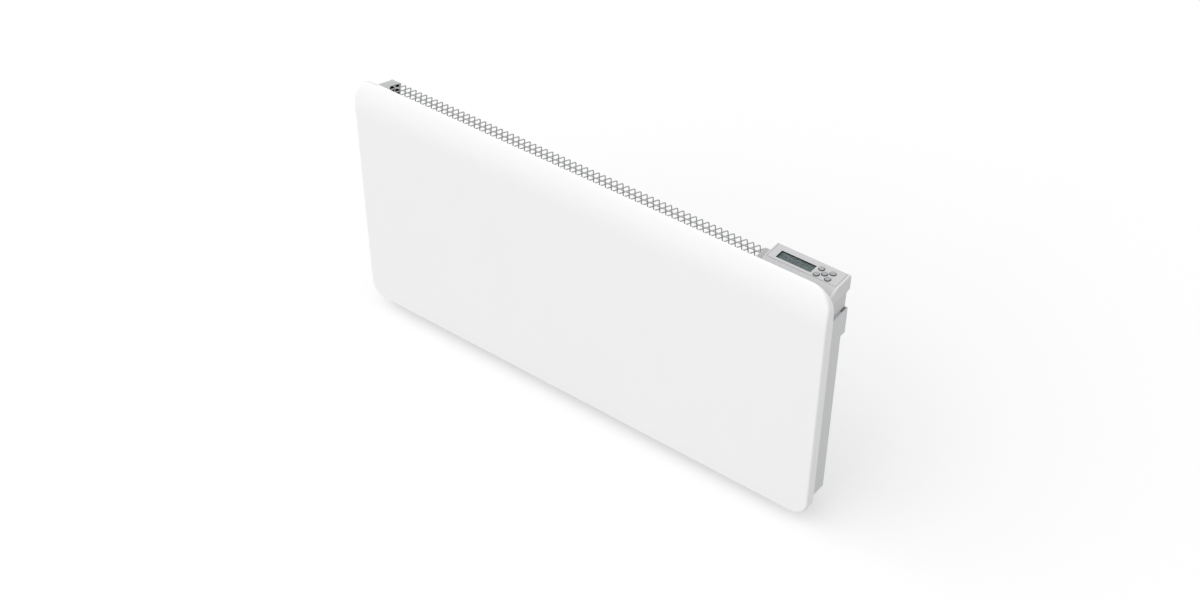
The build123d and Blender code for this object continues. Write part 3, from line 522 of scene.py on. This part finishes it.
@dataclass(frozen=True)
class ZincSpangle(Finish):
    """Hot-dipped sheet, with its crystals."""

    crystal: float = 9 * MM
    frost: float = 1.2 * MM
    scuff: float = 0.5 * MM
    scuff_stretch: Corner = (0.03, 1.0, 1.0)
    scuffed: Span = (0.55, 0.8)
    relief: float = 0.01 * MM
    detail: float = 3.0
    tones: Span = (0.86, 1.1)

    def lay(self, shader: Shader) -> dict[str, Signal]:
        """Lays out crystals of slightly different tone and gloss, and the mill's light scuffs."""
        crystal = shader.node(
            "ShaderNodeSeparateColor", {}, {0: shader.cells(self.crystal, "Color")}
        )
        frost = shader.grain(self.frost, self.detail)
        scuff = shader.grain(self.scuff, stretch=self.scuff_stretch).rise(*self.scuffed)
        dull = crystal * 0.12 + frost * 0.08 + scuff * 0.08
        return {
            "Base Color": self.varied(shader, crystal.blended(frost, 0.25), self.tones),
            "Roughness": dull + (self.rough - 0.12),
            "Normal": shader.relief(crystal.blended(frost, 0.5), self.relief, 0.5),
        }


class Draw(Enum):
    """The way that a metal was drawn or rolled, as the scale of its streaks along each axis."""

    ACROSS = (0.02, 1.0, 1.0)
    NONE = EVEN


@dataclass(frozen=True)
class DrawnMetal(Finish):
    """Bare or plated metal with streaks from drawing, and a tarnish in patches."""

    draw: Draw = Draw.NONE
    streak: float = 0.4 * MM
    streak_dulls: float = 0.16
    streak_depth: float = 0.01 * MM
    patch: float = 7 * MM
    patch_edge: Span = (0.45, 0.75)
    patch_dulls: float = 0.3
    tarnish: Colour = (0.3, 0.3, 0.3)
    tarnished: float = 0.25
    tones: Span = (0.9, 1.08)

    def lay(self, shader: Shader) -> dict[str, Signal]:
        """Lays out the streaks and the tarnish."""
        streaks = shader.grain(self.streak, stretch=self.draw.value)
        patch = shader.grain(self.patch, 3.0).rise(*self.patch_edge) * self.tarnished
        bright = self.varied(shader, streaks, self.tones)
        dull = streaks * self.streak_dulls + patch * self.patch_dulls
        return {
            "Base Color": shader.tint(patch, bright, self.tarnish),
            "Roughness": dull + (self.rough - self.streak_dulls / 2),
            "Normal": shader.relief(streaks, self.streak_depth, 0.6),
        }


@dataclass(frozen=True)
class Laminate(Finish):
    """Circuit board with tracks under its mask."""

    track: float = 3.2 * MM
    gap: float = 0.35 * MM
    fibre: float = 0.5 * MM
    fibre_dulls: float = 0.1
    height: float = 0.05 * MM
    copper: float = 1.7
    tones: Span = (0.9, 1.1)

    def lay(self, shader: Shader) -> dict[str, Signal]:
        """Lays out tracks that run square to each other, and the weave of the glass."""
        course = shader.node(
            "ShaderNodeTexBrick",
            {"offset": 0.35, "squash": 1.0},
            {
                "Vector": shader.place(),
                "Scale": 1.0,
                "Mortar Size": self.gap,
                "Brick Width": 4 * self.track,
                "Row Height": self.track,
            },
            "Fac",
        )
        weave = shader.grain(self.fibre, 1.0)
        mask = self.varied(shader, weave, self.tones)
        return {
            "Base Color": shader.tint(course, mask, self.shade(self.copper)),
            "Roughness": weave * self.fibre_dulls + (self.rough - self.fibre_dulls / 2),
            "Normal": shader.relief(course, self.height, 0.6),
        }


@dataclass(frozen=True)
class WoundTape(Finish):
    """Film tape wound in overlapping turns."""

    turn: float = 4 * MM
    lap: Span = (0.82, 0.98)
    crease: float = 2 * MM
    height: float = 0.05 * MM
    tones: Span = (1.05, 0.7)

    def lay(self, shader: Shader) -> dict[str, Signal]:
        """Lays out the turns, each with its darker edge."""
        edge = (shader.axis("Z") % self.turn * (1 / self.turn)).rise(*self.lap)
        crease = shader.grain(self.crease, 3.0)
        return {
            "Base Color": self.varied(shader, edge * 0.5 + crease * 0.2, self.tones),
            "Roughness": crease * 0.15 + (self.rough - 0.07),
            "Normal": shader.relief(edge + crease * 0.3, self.height, 0.7),
        }


@dataclass(frozen=True)
class FiredClay(Finish):
    """Unglazed bushes with a dry, speckled face."""

    pore: float = 0.6 * MM
    pore_dulls: float = 0.1
    pore_depth: float = 0.05 * MM
    speck: float = 1.1 * MM
    speck_edge: Span = (0.05, 0.2)
    tones: Span = (0.86, 1.04)

    def lay(self, shader: Shader) -> dict[str, Signal]:
        """Lays out the specks and pores."""
        pores = shader.grain(self.pore, 4.0)
        speck = shader.cells(self.speck).rise(*self.speck_edge)
        return {
            "Base Color": self.varied(shader, speck.blended(pores, 0.4), self.tones),
            "Roughness": pores * self.pore_dulls + (self.rough - self.pore_dulls / 2),
            "Normal": shader.relief(pores, self.pore_depth, 0.8),
        }


@dataclass(frozen=True)
class Sleeving(Finish):
    """Braided or moulded sleeve of a lead."""

    braid: float = 0.9 * MM
    braid_height: float = 0.08 * MM
    tones: Span = (0.8, 1.35)

    def _strands(self, slope: Signal) -> Signal:
        """Returns one set of strands, 1 along each middle line and 0 between them."""
        return abs(slope % self.braid * (2 / self.braid) - 1.0)

    def lay(self, shader: Shader) -> dict[str, Signal]:
        """Lays out the braid as two crossing sets of strands."""
        x, y, z = (shader.axis(name) for name in "XYZ")
        strand = self._strands(x + y + z) * self._strands(x + y - z)
        return {
            "Base Color": self.varied(shader, strand, self.tones),
            "Roughness": strand * 0.15 + (self.rough - 0.07),
            "Normal": shader.relief(strand, self.braid_height, 0.7),
        }


@dataclass(frozen=True)
class ClearSheet(Finish):
    """Thin tinted window, smooth apart from fine handling marks."""

    cover: float = 0.15
    index: float = 1.49
    mark: float = 3 * MM
    mark_stretch: Corner = (1.0, 0.2, 1.0)
    mark_edge: Span = (0.5, 0.9)
    mark_dulls: float = 0.08
    tones: Span = (1.0, 1.1)

    def constants(self) -> dict[str, float]:
        """Returns the sheet's see-through and index too, which are the same all over."""
        return {**super().constants(), "Alpha": self.cover, "IOR": self.index}

    def lay(self, shader: Shader) -> dict[str, Signal]:
        """Lays out the marks, which only dull the gloss."""
        marks = shader.grain(self.mark, 4.0, self.mark_stretch).rise(*self.mark_edge)
        return {
            "Base Color": self.varied(shader, marks, self.tones),
            "Roughness": marks * self.mark_dulls + self.rough,
        }


@dataclass(frozen=True)
class LiquidCrystal(Finish):
    """Blank display: one slow change of tone and the faint grid of its unlit dots."""

    pitch: float = 0.8 * MM
    gap: Span = (0.86, 1.0)
    grid_shows: float = 0.12
    grid_tone: float = 0.5
    grid_dulls: float = 0.1
    warm: Colour = paint(172, 190, 186)
    warming: Span = (320 * MM, 370 * MM)

    def _gaps(self, run: Signal) -> Signal:
        """Returns the gaps between the dots along one axis."""
        return (run % self.pitch * (1 / self.pitch)).rise(*self.gap)

    def lay(self, shader: Shader) -> dict[str, Signal]:
        """Lays out the tone along the display and the grid."""
        x, y = shader.axis("X"), shader.axis("Y")
        grid = self._gaps(x).at_least(self._gaps(y))
        tone = shader.tint(x.rise(*self.warming), self.colour, self.warm)
        return {
            "Base Color": shader.tint(grid * self.grid_shows, tone, self.shade(self.grid_tone)),
            "Roughness": grid * self.grid_dulls + self.rough,
        }


KEYS = ("key_centre", "key_rear_left", "key_rear_right", "key_front_left", "key_front_right")
# Painted shade on the white coat: the rim at the panel's left top corner is darkened.
WHITE_COAT = PanelCoat(
    "white_powder_coat", paint(245, 245, 245), 0.42,
    shaded_lip=region((-430.5, -64, 185), (-385, -30, 217)),
)
GREY_COAT = PowderCoat("grey_powder_coat", paint(219, 220, 221), 0.55)
# The mesh coat carries painted shade on its twisted strands and painted shadow under the panel.
GRILLE_COAT = MeshCoat("grille_powder_coat", paint(190, 191, 192), 0.5)
BRACKET_COAT = PowderCoat("bracket_powder_coat", paint(205, 207, 209), 0.55)
ZINC_SHEET = ZincSpangle("zinc_dipped_sheet", paint(190, 194, 197), 0.42, 0.9)
# Painted shade on the shoulder over the grille (0.72) and the band in front of the fascia (0.88);
# painted light on the head's right edge (1.06).
HEAD_MOULD = LightShadeMould(
    "head_moulding", paint(214, 214, 215), 0.52,
    light_shade_regions=(
        (region((283, -57, 100), (303.4, 0, 187.6)), 0.72),
        (region((303, -57, 188), (416, -33.4, 200)), 0.88),
        (region((416, -57, 172), (421, 0, 200)), 1.06),
    ),
)
# Painted shade inside the left end cap, whose interior is seen through the grille.
CAP_MOULD = ShadeMould(
    "cap_moulding", paint(214, 214, 215), 0.52,
    shade_box=inset("left_end_cap", (8, 1.9, 1.9), (10, -1.9, 10)), shade_colour=paint(34, 34, 36),
)
# Painted shade on the fascia: the walls of the display's recess and a ring round each key's hole.
FASCIA_MOULD = ShadeMould(
    "fascia_moulding", paint(204, 204, 205), 0.45,
    shade_box=inset("display_window", (2, 2, -9), (-2, -2, 1.85)), wells=KEYS,
)
# The keys' sides carry painted shade.
KEY_MOULD = CapMould("key_moulding", paint(168, 169, 171), 0.42)
BLACK_MOULD = SparkMould("black_moulding", paint(38, 38, 40), 0.48)
TERMINAL_MOULD = SparkMould("terminal_moulding", paint(222, 221, 213), 0.5)
WINDOW_SHEET = ClearSheet("window_sheet", paint(96, 104, 106), 0.08)
DISPLAY_FACE = LiquidCrystal("display_face", paint(168, 184, 188), 0.4)
BOARD_MASK = Laminate("board_mask", paint(22, 92, 52), 0.4)
TAPE_FILM = WoundTape("tape_film", paint(214, 178, 66), 0.4)
SCREW_ZINC = DrawnMetal(
    "screw_zinc", paint(206, 208, 210), 0.34, 1.0, tarnish=paint(170, 160, 140)
)
FIN_ALLOY = DrawnMetal("fin_alloy", paint(214, 216, 218), 0.36, 1.0, draw=Draw.ACROSS)
SHEATH_STEEL = DrawnMetal(
    "sheath_steel", paint(150, 142, 132), 0.4, 1.0,
    draw=Draw.ACROSS, tarnish=paint(112, 88, 66), tarnished=0.6,
)
BRASS_PIN = DrawnMetal(
    "brass_pin", paint(214, 182, 110), 0.3, 1.0, tarnish=paint(150, 112, 58)
)
BUSH_CLAY = FiredClay("bush_clay", paint(232, 226, 210), 0.75)
LEAD_SLEEVE = Sleeving("lead_sleeve", paint(66, 66, 68), 0.6)


# ------------------------------------------------------------------ pieces


class Assembly(ABC):
    """A group of the heater's CAD nodes that are dressed together."""

    title: ClassVar[str]

    @abstractmethod
    def coats(self) -> dict[Finish, tuple[str, ...]]:
        """Returns each finish with the CAD nodes that it goes on."""

    def dress(self) -> None:
        """Gives the group's CAD nodes their finishes and reports them."""
        for finish, nodes in self.coats().items():
            for node in nodes:
                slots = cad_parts[node].data.materials
                slots.clear()
                slots.append(finish.material())
                log.info("%s: %s in %s", self.title, node, finish.name)


class FrontShell(Assembly):
    """The pressed front panel, the side channels and the moulding at the left end."""

    title: ClassVar[str] = "front shell"

    def coats(self) -> dict[Finish, tuple[str, ...]]:
        """Returns the shell's finishes."""
        return {
            WHITE_COAT: ("front_panel",),
            GREY_COAT: ("left_cheek", "right_cheek"),
            CAP_MOULD: ("left_end_cap",),
            SCREW_ZINC: ("panel_screws",),
        }


class OutletGrille(Assembly):
    """The folded diamond mesh that the warm air leaves by."""

    title: ClassVar[str] = "outlet grille"

    def coats(self) -> dict[Finish, tuple[str, ...]]:
        """Returns the grille's finishes."""
        return {GRILLE_COAT: ("top_grille",), SCREW_ZINC: ("grille_screws",)}


class ControlHead(Assembly):
    """The moulded head with its display, keys and boards."""

    title: ClassVar[str] = "control head"

    def coats(self) -> dict[Finish, tuple[str, ...]]:
        """Returns the head's finishes."""
        return {
            HEAD_MOULD: ("control_housing",),
            FASCIA_MOULD: ("control_fascia",),
            WINDOW_SHEET: ("display_window",),
            DISPLAY_FACE: ("display_module",),
            KEY_MOULD: KEYS,
            BLACK_MOULD: ("key_switches", "relay", "sensor_clip", "room_sensor"),
            BOARD_MASK: ("control_board", "power_board"),
            TAPE_FILM: ("transformer", "filter_capacitor"),
            TERMINAL_MOULD: ("board_terminal",),
            SCREW_ZINC: ("board_screws",),
            LEAD_SLEEVE: ("ribbon_cable", "sensor_lead"),
        }


class HeatCore(Assembly):
    """The finned element on its sheath, with its bushes, bracket, shield and cut-out."""

    title: ClassVar[str] = "heat core"

    def coats(self) -> dict[Finish, tuple[str, ...]]:
        """Returns the core's finishes."""
        return {
            FIN_ALLOY: ("element_body",),
            SHEATH_STEEL: ("element_sheath", "thermal_cutout"),
            BUSH_CLAY: ("element_insulators",),
            ZINC_SHEET: ("element_bracket", "heat_shield"),
            SCREW_ZINC: ("shield_screws",),
            LEAD_SLEEVE: ("element_leads",),
        }


class SupplyEntry(Assembly):
    """The cord's gland, its clamp and the terminals."""

    title: ClassVar[str] = "supply entry"

    def coats(self) -> dict[Finish, tuple[str, ...]]:
        """Returns the entry's finishes."""
        return {
            BLACK_MOULD: ("cord_gland", "gland_nut"),
            TERMINAL_MOULD: ("clamp_block", "cord_clamp", "terminal_block"),
            SCREW_ZINC: ("clamp_screws",),
            BRASS_PIN: ("terminal_screws",),
            LEAD_SLEEVE: ("supply_leads",),
        }


class RearChassis(Assembly):
    """The rear casing and the bracket that carries it on the wall."""

    title: ClassVar[str] = "rear chassis"

    def coats(self) -> dict[Finish, tuple[str, ...]]:
        """Returns the chassis' finishes."""
        return {
            ZINC_SHEET: ("rear_casing",),
            BRACKET_COAT: ("wall_bracket",),
            SCREW_ZINC: ("casing_screws",),
        }


# ------------------------------------------------------------------ studio


@dataclass(frozen=True)
class SoftLight:
    """A distant lamp with a wide, soft face."""

    name: str
    place: Corner
    spread: float
    strength: float

    def build(self) -> None:
        """Hangs the lamp so that it faces the heater."""
        lamp = bpy.data.lights.new(self.name, "SUN")
        lamp.energy, lamp.angle = self.strength, radians(self.spread)
        holder = bpy.data.objects.new(self.name, lamp)
        bpy.context.scene.collection.objects.link(holder)
        place = Vector(self.place)
        holder.matrix_world = Matrix.Translation(place) @ (
            place.to_track_quat("Z", "Y").to_matrix().to_4x4()
        )


@dataclass(frozen=True)
class Studio:
    """A pale floor, soft light and the camera.

    Attributes:
        floor_level: height of the floor.
        floor_side: breadth of the floor.
        floor_colour: the floor's colour as it is seen.
        floor_bounce: the floor's colour in the light that it throws on the heater.
        floor_lift: glow that brings the seen floor up to the backdrop's white.
        floor_rough: the floor's roughness.
        sky: strength of the sky's light.
        camera_place: where the camera stands.
        pitch: degrees that it looks down.
        yaw: degrees that it turns to the left.
        roll: degrees that it leans.
        lens: its focal length in millimetres.
        sensor: breadth of its sensor in millimetres.
        reach: nearest and farthest distances that it sees.
        lights: the lamps.
    """

    floor_level: float = -0.232
    floor_side: float = 14.0
    floor_colour: Colour = paint(203, 203, 203)
    floor_bounce: Colour = paint(193, 193, 193)
    floor_lift: float = 0.39
    floor_rough: float = 0.9
    sky: float = 0.77
    camera_place: Corner = (1.287323, -1.724910, 1.769972)
    pitch: float = 40.3896
    yaw: float = 36.8609
    roll: float = 0.2213
    lens: float = 54.614
    sensor: float = 36.0
    reach: Span = (0.05, 40.0)
    lights: tuple[SoftLight, ...] = (SoftLight("key_light", (-2.6, -2.77, 2.6), 84.0, 1.48),)

    def build(self) -> None:
        """Sets up the whole studio."""
        self._hang_lamps()
        self._lay_floor()
        self._set_camera()
        bpy.context.scene.view_settings.view_transform = "Standard"

    def _seen(self, shader: Shader) -> Signal:
        """Returns 1 where the camera, a reflection or a window looks at the surface."""
        looks = [
            shader.node("ShaderNodeLightPath", out=f"Is {kind} Ray")
            for kind in ("Camera", "Glossy", "Transmission")
        ]
        return looks[0].at_least(looks[1]).at_least(looks[2])

    def _hang_lamps(self) -> None:
        """Hangs the lamps and lights the sky, which the camera sees as white."""
        for light in self.lights:
            light.build()
        world = bpy.data.worlds.new("studio_sky")
        world.use_nodes = True
        bpy.context.scene.world = world
        shader = Shader(world.node_tree)
        sky = world.node_tree.nodes["Background"]
        sky.inputs["Color"].default_value = (1.0, 1.0, 1.0, 1.0)
        strength = self._seen(shader) * (1.0 - self.sky) + self.sky
        world.node_tree.links.new(strength.socket, sky.inputs["Strength"])

    def _lay_floor(self) -> None:
        """Lays the floor, which keeps the heater's shadow."""
        half = self.floor_side / 2
        mesh = bmesh.new()
        corners = ((-half, -half), (half, -half), (half, half), (-half, half))
        mesh.faces.new([mesh.verts.new((x, y, self.floor_level)) for x, y in corners])
        data = bpy.data.meshes.new("studio_floor")
        mesh.to_mesh(data)
        mesh.free()
        floor = bpy.data.objects.new("studio_floor", data)
        bpy.context.scene.collection.objects.link(floor)
        finish = bpy.data.materials.new("studio_floor")
        finish.use_nodes = True
        shader = Shader(finish.node_tree)
        surface = finish.node_tree.nodes["Principled BSDF"]
        surface.inputs["Roughness"].default_value = self.floor_rough
        surface.inputs["Specular IOR Level"].default_value = 0.0
        surface.inputs["Emission Strength"].default_value = 1.0
        seen = self._seen(shader)
        tone = shader.tint(seen, self.floor_bounce, self.floor_colour)
        glow = shader.tint(seen, (0.0, 0.0, 0.0), (self.floor_lift,) * 3)
        finish.node_tree.links.new(tone.socket, surface.inputs["Base Color"])
        finish.node_tree.links.new(glow.socket, surface.inputs["Emission Color"])
        data.materials.append(finish)

    def _set_camera(self) -> None:
        """Sets the camera by its place and its three turns."""
        pitch, yaw, roll = radians(self.pitch), radians(self.yaw), radians(self.roll)
        ahead = Vector((-sin(yaw) * cos(pitch), cos(yaw) * cos(pitch), -sin(pitch)))
        level = Vector((cos(yaw), sin(yaw), 0.0))
        upward = level.cross(ahead)
        right = level * cos(roll) + upward * sin(roll)
        top = upward * cos(roll) - level * sin(roll)
        turn = Matrix((right, top, -ahead)).transposed().to_4x4()
        turn.translation = Vector(self.camera_place)
        lens = bpy.data.cameras.new("camera")
        lens.sensor_width, lens.lens = self.sensor, self.lens
        lens.clip_start, lens.clip_end = self.reach
        camera = bpy.data.objects.new("camera", lens)
        bpy.context.scene.collection.objects.link(camera)
        camera.matrix_world = turn
        bpy.context.scene.camera = camera


def main() -> None:
    """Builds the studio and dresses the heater's groups in order."""
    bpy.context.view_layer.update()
    Studio().build()
    groups: tuple[Assembly, ...] = (
        FrontShell(), OutletGrille(), ControlHead(), HeatCore(), SupplyEntry(), RearChassis(),
    )
    for group in groups:
        group.dress()


if __name__ == "__main__":
    main()
